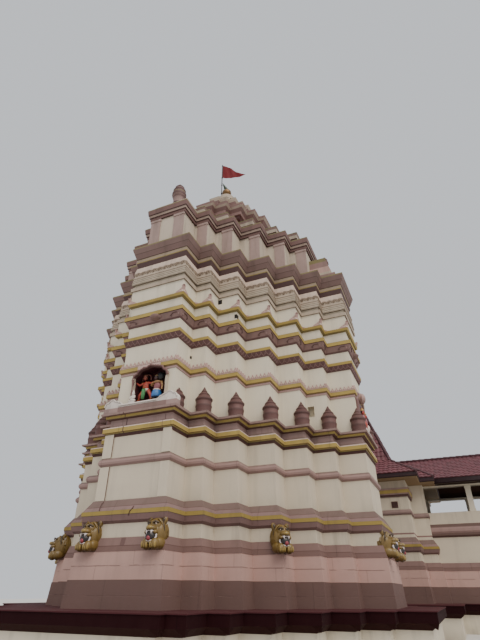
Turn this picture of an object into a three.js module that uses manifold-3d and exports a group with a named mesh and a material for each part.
// Hindu temple: stepped sanctum tower on a platform, with a tiled hall behind it.
// Millimetres, Z up. Origin on the ground under the tower axis. The tower's front faces -Y,
// the hall stands on +Y and opens into a wing on either side.
import * as THREE from 'three';
import { mergeVertices } from 'three/addons/utils/BufferGeometryUtils.js';
import Module from 'manifold-3d';

const wasm = await Module();
wasm.setup();
const { Manifold } = wasm;

// Stepped plan of the tower: corner i lies at (x[i], y[i]), the valley after it at (x[i], y[i + 1]).
// The half at -X is laid out a little wider than the half at +X.
const towerRight = [1345, 1941, 2751, 3676, 4502, 5267, 6195];
const towerLeft = [1270, 2050, 3160, 4200, 4980, 5580, 6380];
const towerFront = [5975, 5047, 4282, 3456, 2531, 1721, 1125];

// Stepped plan of the platform round the tower, and its front projection
const platformSide = [2960, 3520, 4300, 5140, 5850, 6570, 7550];
const platformStep = 1430;
const projectionHalf = 2450;
const projectionFront = 7600;

// Plan of the hall and its wings
const neckHalf = 1500;
const neckStart = 4600;
const hallFront = 7430;
const hallHalf = 6687;
const hallStep = 1640;
const hallStepHalf = 7375;
const wingFront = 9600;
const bayWidth = 2250;
const wingBays = 2;
const wingHalf = hallStepHalf + wingBays * bayWidth;
const hallMiddle = wingFront + bayWidth;
const hallBack = 2 * hallMiddle - hallFront;
const wingBack = 2 * hallMiddle - wingFront;
const hallPlatformStart = 5000;
const deep = 600;
const clear = 500;
const far = 30000;

// Levels above the ground
const soffitFoot = 720;
const fasciaFoot = 880;
const copingFoot = 1120;
const platformTop = 1150;
const plinthTop = 2460;
const chamferTop = 2800;
const floorLevel = 3800;
const sillLevel = 5080;
const corniceFoot = 5690;
const wallHead = 6380;
const ledgeLevel = 6440;
const greatTop = 13450;
const topCorniceFoot = 14980;
const topCorniceTop = 15560;
const atticTop = 16620;
const tierFoot = 18050;
const tierTop = 18760;
const crownTop = 21450;

// Inside
const chamberHalf = 2150;
const atticHalf = 1500;
const passageHalf = 700;
const lintelLevel = 6100;
const roomTop = 9000;
const hallInner = 6170;
const hallWall = 520;
const wingWall = 350;
const fit = 0.3;

// Profiles of the courses: [height, projection from the plan] pairs, lowest first
const plinthLower = [[platformTop, 235], [1440, 215], [1800, 195]];
const plinthUpper = [[1800, 180], [2120, 170], [plinthTop, 150]];
const plinthChamfer = [[plinthTop, 160], [chamferTop, 70]];
const baseProfile = [[chamferTop, 30], [3160, 30], [3165, 45], [3230, 105], [3375, 135], [3380, 145], [3490, 145],
  [3495, 130], [floorLevel, -50]];
const hallFace = -95;
const hallProfile = [[floorLevel, -85], [4790, -90], [4795, -70], [4850, -25], [4910, -10], [4970, -25], [5025, -70],
  [5030, hallFace], [wallHead, hallFace]];
const lowerWall = [[floorLevel, -85], [4790, -90]];
const torusProfile = [[4790, -75], [4850, -25], [4910, -10], [4970, -25], [5030, -75]];
const middleWall = [[5030, hallFace], [corniceFoot, hallFace]];
const corniceProfile = [[corniceFoot, -85], [5820, -50], [5825, 0], [5976, 0], [6070, -150], [6270, -150],
  [6275, -30], [6370, -20], [6375, 80], [ledgeLevel, 100]];
const nicheWall = [[ledgeLevel, -235], [7830, -235]];
const parapetProfile = [[7830, -215], [7925, -205], [7950, -165], [8100, -160]];
const coronaProfile = [[9740, -225], [10010, -105], [10015, -80], [10170, -80]];
const scrollProfile = [[11360, -130], [11500, -115], [11505, -205], [11650, -205], [11655, -130], [11850, -150],
  [12250, -185], [12520, -235]];
const greatProfile = [[12520, -240], [12740, -165], [12930, -175], [12935, -150], [13380, 0], [greatTop, -10]];
const topCorniceProfile = [[topCorniceFoot, -245], [15120, -235], [15125, -200], [15260, -190], [15265, -165],
  [15400, -150], [15520, -134], [topCorniceTop, -150]];
const topFace = -300;
const atticProfile = [[topCorniceTop, -900], [16150, -900], [16250, -850], [16255, -800], [16420, -790],
  [16560, -750], [atticTop, -790]];
const tierProfile = [[tierFoot, -380], [18160, -330], [18165, -230], [18330, -210], [18480, -100], [18600, -30],
  [18700, 0], [tierTop, -60]];

const paints = {
  cream: 0xc4beaf,
  mauve: 0x82645f,
  brown: 0x644a46,
  pink: 0xa5877f,
  gold: 0xaf9650,
  maroon: 0x3a0f16,
  tile: 0x783c4b,
  red: 0x7a1820,
  iron: 0x30343a,
  figure: 0x9a5a3c,
};
const temple = new THREE.Group();
temple.name = 'hindu_temple';

// Outlines: rectilinear rings of [x, y] corners, anticlockwise
function rectangle(x0, x1, y0, y1) {
  return [[x0, y0], [x1, y0], [x1, y1], [x0, y1]];
}

// Outline with the same stairs in front and behind, its own widths at +X and -X.
function steppedPlan(rightXs, leftXs, ys) {
  const stairs = (xs) => xs.flatMap((x, i) => (i + 1 < xs.length ? [[x, ys[i]], [x, ys[i + 1]]] : [[x, ys[i]]]));
  const right = stairs(rightXs);
  const left = stairs(leftXs);
  return [
    ...right.map(([x, y]) => [x, -y]),
    ...[...right].reverse(),
    ...left.map(([x, y]) => [-x, y]),
    ...[...left].reverse().map(([x, y]) => [-x, -y]),
  ];
}

// Every face of the outline moves out by the given distance.
function grown(outline, distance) {
  const count = outline.length;
  return outline.map(([x, y], i) => {
    const [px, py] = outline[(i + count - 1) % count];
    const [nx, ny] = outline[(i + 1) % count];
    const sideX = Math.sign(Math.sign(y - py) + Math.sign(ny - y));
    const sideY = -Math.sign(Math.sign(x - px) + Math.sign(nx - x));
    return [x + sideX * distance, y + sideY * distance];
  });
}

function scaled(outline, factor) {
  return outline.map(([x, y]) => [x * factor, y * factor]);
}

function widened(profile, extra) {
  return profile.map(([z, out]) => [z, out + extra]);
}

// Solids
function toManifold(geometry) {
  const plain = geometry.clone();
  plain.deleteAttribute('normal');
  plain.deleteAttribute('uv');
  const merged = mergeVertices(plain, 1e-3);
  return new Manifold(new wasm.Mesh({
    numProp: 3,
    vertProperties: new Float32Array(merged.attributes.position.array),
    triVerts: new Uint32Array(merged.index.array),
  }));
}

function toGeometry(solid) {
  const mesh = solid.getMesh();
  const geometry = new THREE.BufferGeometry();
  const positions = new Float32Array(mesh.numVert * 3);
  for (let i = 0; i < mesh.numVert; i += 1) {
    for (let k = 0; k < 3; k += 1) {
      positions[3 * i + k] = mesh.vertProperties[i * mesh.numProp + k];
    }
  }
  geometry.setAttribute('position', new THREE.BufferAttribute(positions, 3));
  geometry.setIndex(new THREE.BufferAttribute(new Uint32Array(mesh.triVerts), 1));
  return geometry;
}

// Closed solid through rings of equal corner count, lowest first.
function throughRings(rings) {
  const count = rings[0].length;
  const top = (rings.length - 1) * count;
  const index = [];
  for (let r = 0; r + 1 < rings.length; r += 1) {
    for (let i = 0; i < count; i += 1) {
      const a = r * count + i;
      const b = r * count + ((i + 1) % count);
      index.push(a, b, b + count, a, b + count, a + count);
    }
  }
  const flat = rings[0].map(([x, y]) => new THREE.Vector2(x, y));
  for (const [a, b, c] of THREE.ShapeUtils.triangulateShape(flat, [])) {
    index.push(c, b, a, top + a, top + b, top + c);
  }
  const geometry = new THREE.BufferGeometry();
  geometry.setAttribute('position', new THREE.Float32BufferAttribute(rings.flat(2), 3));
  geometry.setIndex(index);
  return toManifold(geometry);
}

function atHeight(outline, z) {
  return outline.map(([x, y]) => [x, y, z]);
}

// Course of masonry: the outline carried up through [height, projection] pairs.
function course(outline, profile) {
  return throughRings(profile.map(([z, out]) => atHeight(grown(outline, out), z)));
}

function joined(solids) {
  return solids.length > 1 ? Manifold.union(solids) : solids[0];
}

// The same course round several overlapping outlines.
function courses(outlines, profile) {
  return joined(outlines.map((outline) => course(outline, profile)));
}

// Frustum between two sizes of one outline.
function tapered(outline, z0, scale0, z1, scale1) {
  return throughRings([atHeight(scaled(outline, scale0), z0), atHeight(scaled(outline, scale1), z1)]);
}

function block(x0, x1, y0, y1, z0, z1) {
  const box = new THREE.BoxGeometry(x1 - x0, y1 - y0, z1 - z0);
  box.translate((x0 + x1) / 2, (y0 + y1) / 2, (z0 + z1) / 2);
  return toManifold(box);
}

// Block between two values of x given in either order.
function sideBlock(xs, y0, y1, z0, z1) {
  return block(Math.min(...xs), Math.max(...xs), y0, y1, z0, z1);
}

// Turned solid about a vertical axis from [radius, height] pairs.
function turned(profile, segments, x = 0, y = 0) {
  const points = profile.map(([r, z]) => new THREE.Vector2(r, z));
  const geometry = new THREE.LatheGeometry(points, segments);
  geometry.rotateX(Math.PI / 2);
  geometry.translate(x, y, 0);
  return toManifold(geometry);
}

// Ball stretched to three half sizes.
function ball(halfX, halfY, halfZ, x, y, z, around = 10) {
  const geometry = new THREE.SphereGeometry(1, around, Math.round(around * 0.6));
  geometry.scale(halfX, halfY, halfZ);
  geometry.translate(x, y, z);
  return toManifold(geometry);
}

function extruded(outline, length) {
  const shape = new THREE.Shape(outline.map(([u, v]) => new THREE.Vector2(u, v)));
  return new THREE.ExtrudeGeometry(shape, { depth: length, bevelEnabled: false });
}

// Solid from an outline of [x, z] corners, between two values of y.
function frontPrism(outline, y0, y1) {
  const geometry = extruded(outline, y1 - y0);
  geometry.rotateX(Math.PI / 2);
  geometry.translate(0, y1, 0);
  return toManifold(geometry);
}

// Solid from an outline of [y, z] corners, between two values of x.
function sidePrism(outline, x0, x1) {
  const geometry = extruded(outline, x1 - x0);
  geometry.rotateX(Math.PI / 2);
  geometry.rotateZ(Math.PI / 2);
  geometry.translate(x0, 0, 0);
  return toManifold(geometry);
}

function add(name, solids, paint, roughness = 0.85, metalness = 0) {
  const whole = Array.isArray(solids) ? joined(solids) : solids;
  const material = new THREE.MeshStandardMaterial({ color: paint, roughness, metalness });
  const mesh = new THREE.Mesh(toGeometry(whole), material);
  mesh.name = name;
  temple.add(mesh);
}

// Outlines shared by the courses
const tower = steppedPlan(towerRight, towerLeft, towerFront);
const neck = rectangle(-neckHalf, neckHalf, neckStart, hallFront + deep);
const hallCore = rectangle(-hallHalf, hallHalf, hallFront, hallBack);
const hallSides = rectangle(-hallStepHalf, hallStepHalf, hallFront + hallStep, hallBack - hallStep);
const wings = rectangle(-wingHalf, wingHalf, wingFront, wingBack);
const hall = [hallCore, hallSides];
const body = [tower, neck, ...hall];

// Platform, with a pointed drop at every outer corner round the tower
const platformFront = towerFront.map((y) => y + platformStep);
const platformMargin = 1430;
const platformTower = steppedPlan(platformSide, platformSide, platformFront);
const platform = [
  platformTower,
  rectangle(-projectionHalf, projectionHalf, -projectionFront, 0),
  rectangle(-hallHalf - platformMargin, hallHalf + platformMargin, hallPlatformStart, hallBack + platformMargin),
  rectangle(-wingHalf - platformMargin, wingHalf + platformMargin, wingFront - deep, wingBack + deep),
];
const dropWidth = 300;
const dropTip = 745;
const copingLip = 25;
const dropSpots = platformSide.map((x, i) => [x, platformFront[i]]);
const drops = [...dropSpots, [projectionHalf, projectionFront]].flatMap(([x, y]) => [1, -1].map((side) => {
  const inner = [side * (x - dropWidth), -y + dropWidth];
  const tip = [side * (x - 45), -y + 45];
  const square = (cx, cy, ex, ey) => rectangle(
    Math.min(cx, ex), Math.max(cx, ex), Math.min(cy, ey), Math.max(cy, ey),
  );
  return throughRings([
    atHeight(square(tip[0], tip[1], tip[0] - side * 15, tip[1] + 15), dropTip),
    atHeight(square(side * x, -y, ...inner), fasciaFoot + 20),
  ]);
}));
const platformWallTop = courses(platform, [[0, -200], [soffitFoot, -200]]);
const fascia = courses(platform, [[soffitFoot, -190], [fasciaFoot, 0], [copingFoot, 0],
  [copingFoot + 5, copingLip], [platformTop, copingLip]]);
add('platform_wall', platformWallTop, paints.cream);
add('platform_fascia', [fascia, ...drops], paints.maroon);

// Plinth of the whole temple
add('plinth_lower', courses([...body, wings], plinthLower), paints.brown);
add('plinth_upper', courses([...body, wings], plinthUpper), paints.pink);
add('plinth_chamfer', courses([...body, wings], plinthChamfer), paints.mauve);

// Mouldings shared by tower and hall up to the floor, with lion heads set in their recess
const headLevel = 2860;
function lionHead(x, y, angle) {
  const head = joined([
    ball(275, 280, 370, 0, -65, 0),
    ball(150, 180, 150, 0, -300, -110, 8),
    ball(75, 60, 110, 200, -50, 260, 6),
    ball(75, 60, 110, -200, -50, 260, 6),
  ]);
  return head.rotate([0, 0, angle]).translate([x, y, headLevel]);
}
const frontHeads = [1180, -950].map((x) => lionHead(x, -towerFront[0], 0));
const cornerHeads = [1, -1].flatMap((end) => [
  lionHead(3700, end * 3520, end > 0 ? 135 : 45),
  lionHead(-4240, end * 3520, end > 0 ? 225 : -45),
  lionHead(towerRight[6], end * 900, 90),
  lionHead(-towerLeft[6], end * 900, -90),
]);
const chamferBody = courses([...body, wings], widened(plinthChamfer, fit));
add('base_mouldings', joined([
  courses(body, baseProfile),
  joined([...frontHeads, ...cornerHeads]).subtract(chamferBody),
]), paints.mauve);

// Hollow of the temple above the floor
const chamber = block(-chamberHalf, chamberHalf, -chamberHalf, chamberHalf, floorLevel, topCorniceTop + 1);
const hallRoom = joined([
  block(-hallInner, hallInner, hallFront + hallWall, hallBack - hallWall, floorLevel, roomTop),
  block(-wingHalf - clear, wingHalf + clear, wingFront + wingWall, wingBack - wingWall, floorLevel, roomTop),
]);
const passage = block(-passageHalf, passageHalf, 0, hallBack + clear, floorLevel, lintelLevel);
const hallBox = courses(hall, widened(hallProfile, fit));

function towerRing(profile, outlines = [tower]) {
  return courses(outlines, profile).subtract(chamber).subtract(passage);
}

function neckRing(profile) {
  return towerRing(profile, [tower, neck]).subtract(hallBox);
}
add('tower_wall_lower', neckRing(lowerWall), paints.cream);
add('torus_band', neckRing(torusProfile), paints.mauve);
add('tower_wall_middle', neckRing(middleWall), paints.cream);

// Hall walls, front and back, open to the wings at either side
const hallWalls = courses(hall, hallProfile).subtract(hallRoom).subtract(passage);
add('hall_front_wall', hallWalls.intersect(block(-far, far, 0, hallMiddle, 0, far)), paints.cream);
add('hall_back_wall', hallWalls.intersect(block(-far, far, hallMiddle, far, 0, far)), paints.cream);

// Cornice with an engaged spirelet at every outer corner of the tower
const spireInset = 220;
const frontInset = [320, 560];
const spireProfile = [[0, 6430], [235, 6430], [250, 6700], [242, 6880], [272, 6905], [272, 6935], [135, 7120],
  [80, 7180], [0, 7345]];
function spireAt(x, y, i) {
  return i > 0 ? [x - spireInset, y - spireInset] : [x - frontInset[0], y - frontInset[1]];
}
const spireSpots = [towerRight, towerLeft].flatMap((xs, side) => xs.flatMap((x, i) => {
  const [spotX, spotY] = spireAt(x, towerFront[i], i);
  return [1, -1].map((end) => [side > 0 ? -spotX : spotX, end * spotY]);
}));
const spires = joined(spireSpots.map(([x, y]) => turned(spireProfile, 8, x, y)))
  .subtract(course(tower, widened(nicheWall, fit)));
add('main_cornice', [towerRing(corniceProfile), spires], paints.mauve);

// Cusped arch over a rectangular opening, as [x, z] corners
const nicheMiddle = 200;
const nicheHalf = 620;
const nicheFoot = 6700;
const nicheSpring = 7520;
const nicheRise = 440;
const nicheLobes = 5;
const nicheFace = -towerFront[0] + 235;
const nicheDepth = 420;
const frameWidth = 50;
const frameDepth = 110;
const sillReach = 290;
const sillSpan = [-760, 1040];
function archOutline(extra, foot) {
  const points = [[nicheMiddle - nicheHalf - extra, foot], [nicheMiddle + nicheHalf + extra, foot]];
  const count = nicheLobes * 4;
  for (let i = 0; i <= count; i += 1) {
    const t = i / count;
    const lobe = 1 + 0.07 * Math.abs(Math.sin(Math.PI * nicheLobes * t));
    points.push([
      nicheMiddle + (nicheHalf + extra) * lobe * Math.cos(Math.PI * t),
      nicheSpring + (nicheRise + extra) * lobe * Math.sin(Math.PI * t),
    ]);
  }
  return points;
}
const nicheCut = frontPrism(archOutline(0, nicheFoot), nicheFace - clear, nicheFace + nicheDepth);

// Small slot in the wall, seen to the right of the front corner
const slotX = [4290, 4540];
const slotY = [-1600, -1240];
const slotZ = [7050, 7450];
const slotCut = block(...slotX, ...slotY, ...slotZ);

// Wall storeys and bands above the cornice
add('wall_niche_storey', towerRing(nicheWall).subtract(nicheCut).subtract(slotCut), paints.cream);
const parapetSpace = frontPrism(archOutline(frameWidth + fit, nicheFoot), nicheFace - clear, nicheFace + nicheDepth);
add('parapet_band', towerRing(parapetProfile).subtract(parapetSpace), paints.gold);
const upperCourses = [
  ['wall_second_storey', [[8100, -255], [8960, -255]], paints.cream],
  ['dentil_band', [[8960, -235], [9160, -150], [9280, -135]], paints.mauve],
  ['wall_third_storey', [[9280, -245], [9740, -245]], paints.cream],
  ['lower_corona', coronaProfile, paints.mauve],
  ['wall_fourth_storey', [[10170, -235], [10620, -235]], paints.cream],
  ['leaf_band', [[10620, -225], [10660, -140], [10750, -105]], paints.gold],
  ['wall_fifth_storey', [[10750, -180], [11360, -180]], paints.cream],
  ['scroll_moulding', scrollProfile, paints.cream],
  ['great_cornice', greatProfile, paints.mauve],
];
for (const [name, profile, paint] of upperCourses) {
  add(name, towerRing(profile), paint);
}

// Frame of the niche with its sill, and two figures inside
const frameRing = frontPrism(archOutline(frameWidth, nicheFoot), nicheFace - frameDepth, nicheFace - fit)
  .subtract(frontPrism(archOutline(-10, nicheFoot + 40), nicheFace - clear, nicheFace + clear));
const sill = block(...sillSpan, nicheFace - sillReach, nicheFace - fit, ledgeLevel + fit, nicheFoot + 5);
const ledgeBody = course(tower, widened(corniceProfile, fit));
add('niche_frame', [frameRing, sill], paints.maroon);
function figure(x, height) {
  const y = nicheFace + 205;
  const waist = nicheFoot + height * 0.5;
  const robe = turned([[0, nicheFoot], [180, nicheFoot], [130, waist], [0, waist]], 12, x, y);
  return joined([
    robe,
    ball(190, 110, height * 0.2, x, y, nicheFoot + height * 0.62),
    ball(95, 95, 120, x, y, nicheFoot + height * 0.88),
  ]);
}
const figureBase = block(-360, 760, nicheFace + 5, nicheFace + nicheDepth - 10, nicheFoot + fit, nicheFoot + 45);
add('niche_figures', [
  figureBase,
  joined([figure(-100, 1080), figure(380, 1100)])
    .subtract(block(-far, far, -far, far, 0, nicheFoot + 20)),
], paints.figure);

const neckSide = neckHalf + hallFace;
const neckHead = block(-neckSide, neckSide, neckStart, hallFront - hallFace, corniceFoot, wallHead);
add('neck_head', neckHead.subtract(ledgeBody).subtract(hallBox).subtract(passage), paints.cream);

// Top storey: the side faces of the plan carry low roofs instead of full height
const sideTaper = 222;
const topRight = towerRight.slice(0, -1).map((x) => x - sideTaper);
const topLeft = towerLeft.slice(0, -1).map((x) => x - sideTaper);
const topFront = towerFront.slice(0, -1);
const topPlan = steppedPlan(topRight, topLeft, topFront);
const atticFront = [5550, ...topFront.slice(1)];
const atticPlan = steppedPlan([1200, ...topRight.slice(1)], [1200, ...topLeft.slice(1)], atticFront);
const atticRoom = block(-atticHalf, atticHalf, -atticHalf, atticHalf, topCorniceTop - 1, atticTop + 1);
add('top_storey_wall', towerRing([[greatTop, topFace], [topCorniceFoot, topFace]], [topPlan]), paints.cream);
add('top_cornice', towerRing(topCorniceProfile, [topPlan]), paints.mauve);
const blockTop = 16160;
const finialX = 100;
const finialY = 5120;
const finialProfile = [[0, blockTop - 10], [240, blockTop - 10], [232, 16500], [250, 16660], [300, 16700],
  [300, 16840], [260, 17000], [190, 17180], [0, 17460]];
const endSolids = [1, -1].flatMap((end) => {
  const side = [[-4500, topCorniceTop], [-4500, blockTop], [-5360, blockTop], [-5620, topCorniceTop]];
  const facing = end > 0 ? side.map(([y, z]) => [-y, z]).reverse() : side;
  return [sidePrism(facing, -900, 690), turned(finialProfile, 16, finialX, end * finialY)];
});
add('attic', [course(atticPlan, atticProfile).subtract(atticRoom), ...endSolids], paints.mauve);

// Roof blocks over the side faces: a ledge, then a body whose face slopes back
const ledgeTop = 13620;
const slopeFoot = 13800;
const slopeTop = 14600;
for (const [name, side, reach, wallX] of [
  ['side_roof_left', -1, towerLeft[6] - 325, topLeft[5]],
  ['side_roof_right', 1, towerRight[6] - 325, topRight[5]],
]) {
  const start = wallX + topFace + fit;
  const ledge = sideBlock([side * start, side * reach], -1050, 1050, greatTop, ledgeTop);
  const faceOutline = [[start, ledgeTop - 10], [reach - 170, ledgeTop - 10], [reach - 170, slopeFoot],
    [reach - 400, slopeTop], [start, slopeTop]];
  const faceXs = side > 0 ? faceOutline : faceOutline.map(([x, z]) => [-x, z]).reverse();
  add(name, [ledge, frontPrism(faceXs, -950, 950)], paints.pink);
}

// Roof of the tower, with its void
const tierY = -110;
const roofFoot = grown(atticPlan, -1000);
const roofHead = scaled(roofFoot, 0.42);
const roofVoid = throughRings([
  atHeight(scaled(roofFoot, 0.72), atticTop - 1),
  atHeight(scaled(roofFoot, 0.22), tierFoot - 500),
]);
const towerRoof = throughRings([atHeight(roofFoot, atticTop), atHeight(roofHead, tierFoot)]);
add('tower_roof', towerRoof.subtract(roofVoid), paints.pink);

// Upper tier: two small cornices on a plan of five corners, then the crown
const tierSide = [520, 1146, 1836, 2232, 2544];
const tierPlan = steppedPlan(tierSide, tierSide, [...tierSide].reverse());
const secondScale = 0.6;
const secondRise = tierTop + 660 - tierFoot;
const secondProfile = tierProfile.map(([z, out]) => [z + secondRise, out * secondScale]);
const secondPlan = scaled(tierPlan, secondScale);
const tierSolids = [
  course(tierPlan, tierProfile),
  throughRings([atHeight(grown(tierPlan, -100), tierTop - 10),
    atHeight(grown(secondPlan, -180), tierTop + 670)]),
  course(secondPlan, secondProfile),
];
add('upper_tier', joined(tierSolids).translate([0, tierY, 0]), paints.mauve);
const crownStart = tierTop + secondRise;
const crownSolid = joined([
  tapered(secondPlan, crownStart, 0.7, 21150, 0.3),
  turned([[0, 21100], [480, 21100], [480, 21350], [420, crownTop], [0, crownTop]], 24),
]);
add('crown', crownSolid.translate([0, tierY, 0]), paints.pink);

// Kalash with its leaning tip, pole and flag
function leaningCone(z0, z1, radius, leanX, leanY, segments) {
  const rings = [0, 0.35, 0.7, 1].map((t) => {
    const r = radius * (1 - t) + 12 * t;
    const ring = [];
    for (let i = 0; i < segments; i += 1) {
      const a = (2 * Math.PI * i) / segments;
      ring.push([leanX * t + r * Math.cos(a), tierY + leanY * t + r * Math.sin(a), z0 + (z1 - z0) * t]);
    }
    return ring;
  });
  return throughRings(rings);
}
const kalashProfile = [[0, crownTop], [200, crownTop], [210, 21520], [130, 21600], [150, 21640], [215, 21700],
  [258, 21790], [270, 21900], [258, 22010], [200, 22110], [120, 22160], [0, 22160]];
add('kalash', [turned(kalashProfile, 24, 0, tierY), leaningCone(22100, 22750, 120, -230, -100, 12)], paints.gold,
  0.35, 0.8);
const poleX = -284;
const poleY = -235;
const poleRadius = 28;
const poleTop = 24400;
const poleProfile = [[0, crownTop], [poleRadius, crownTop], [poleRadius, poleTop], [0, poleTop]];
add('flag_pole', turned(poleProfile, 12, poleX, poleY), paints.iron, 0.5, 0.6);
const hoist = poleX + poleRadius + fit;
const flagShape = [[hoist, 23250], [550, 22840], [1270, 22850], [670, 23300], [310, 23870], [hoist, 24330]];
add('flag', frontPrism(flagShape, poleY - 6, poleY + 6), paints.red, 0.8);

// Wings: solid base, parapet, posts, beam and gable
const hallBody = joined([chamferBody, courses(body, widened(baseProfile, fit)), hallBox]);
const wingProfile = [[chamferTop, -10], [3930, -20], [4010, 70], [4110, 80], [4190, 120], [4300, 120], [4380, 80],
  [4530, 0], [4535, -20], [sillLevel, -20]];
const beamLevel = 6300;
const ridgeLevel = 8200;
const eaveTop = 6640;
const eaveReach = 600;
const wingRoom = block(-wingHalf + wingWall, wingHalf - wingWall, wingFront + wingWall, wingBack - wingWall,
  floorLevel, far);
const wingEave = [wingFront - eaveReach, wingBack + eaveReach];
const shell = [[wingEave[0], wallHead], [wingEave[0] + 700, wallHead + 60], [hallMiddle, ridgeLevel - 260],
  [wingEave[1] - 700, wallHead + 60], [wingEave[1], wallHead], [wingEave[1], eaveTop], [hallMiddle, ridgeLevel],
  [wingEave[0], eaveTop]];
const gableOutline = [[wingFront + 20, wallHead - 10], [wingBack - 20, wallHead - 10],
  [hallMiddle, ridgeLevel - 290]];
const gableCut = sidePrism(shell.map(([y, z]) => [y, z - fit]), -wingHalf - clear, wingHalf + clear);
const wingWalls = course(wings, wingProfile).subtract(hallBody).subtract(wingRoom);
const wingBeams = course(wings, [[beamLevel, -20], [wallHead, -20]]).subtract(hallBody).subtract(wingRoom);
const postHalf = 130;
const capHalf = 150;
const postInset = wingWall / 2 + 20;
function wingSide(side, solid) {
  return solid.intersect(sideBlock([side * (hallStepHalf - deep), side * far], 0, far, 0, far));
}

function post(x, y) {
  const part = (half, z0, z1) => block(x - half, x + half, y - half, y + half, z0, z1);
  return joined([
    part(postHalf, sillLevel, beamLevel + 10),
    part(capHalf, sillLevel, sillLevel + 120),
    part(capHalf, beamLevel - 120, beamLevel + 10),
  ]);
}
for (const [label, side] of [['left', -1], ['right', 1]]) {
  add(`wing_wall_${label}`, wingSide(side, wingWalls), paints.cream);
  const posts = [post(side * (wingHalf - postInset), hallMiddle)];
  for (let bay = 1; bay <= wingBays; bay += 1) {
    const x = side * (hallStepHalf + bay * bayWidth - postInset);
    posts.push(post(x, wingFront + postInset), post(x, wingBack - postInset));
  }
  const ends = [side * (wingHalf - wingWall), side * (wingHalf - 20)];
  const gable = sidePrism(gableOutline, Math.min(...ends), Math.max(...ends)).subtract(gableCut);
  add(`wing_frame_${label}`, [wingSide(side, wingBeams), ...posts, gable], paints.cream);
}

// Tiled roofs: a flared eave, a steep hipped roof above it and a gabled roof over the wings
const skirtTop = 7560;
const skirtIn = -720;
const eaveProfile = [[wallHead, 500], [6410, 550], [eaveTop, 560], [skirtTop, skirtIn]];
const steepProfile = [[skirtTop, skirtIn], [10150, skirtIn - 940], [10900, skirtIn - 1200],
  [12300, skirtIn - 3030]];
const skirtVoid = courses(hall, [[wallHead - 1, -hallWall], [6700, -hallWall - 60], [skirtTop - 60, -1100],
  [skirtTop + 1, -1100]]);
const roofVoidHall = course(hallCore, [[skirtTop - 1, -1100], [9700, skirtIn - 1000], [10750, skirtIn - 1400],
  [12120, skirtIn - 3080]]);
add('hall_eave', courses(hall, eaveProfile).subtract(skirtVoid), paints.tile);
add('hall_roof', course(hallCore, steepProfile).subtract(roofVoidHall), paints.tile);
const eaveBody = courses(hall, [[wallHead - 1, 500 + fit], ...widened(eaveProfile, fit),
  [skirtTop + 1, skirtIn + fit]]);
const roofCore = joined([eaveBody, course(hallCore, widened(steepProfile, fit))]);
const wingRoofs = sidePrism(shell, -wingHalf - clear, wingHalf + clear).subtract(roofCore);
add('wing_roof_left', wingRoofs.intersect(block(-far, -100, 0, far, 0, far)), paints.tile);
add('wing_roof_right', wingRoofs.intersect(block(100, far, 0, far, 0, far)), paints.tile);

export default temple;
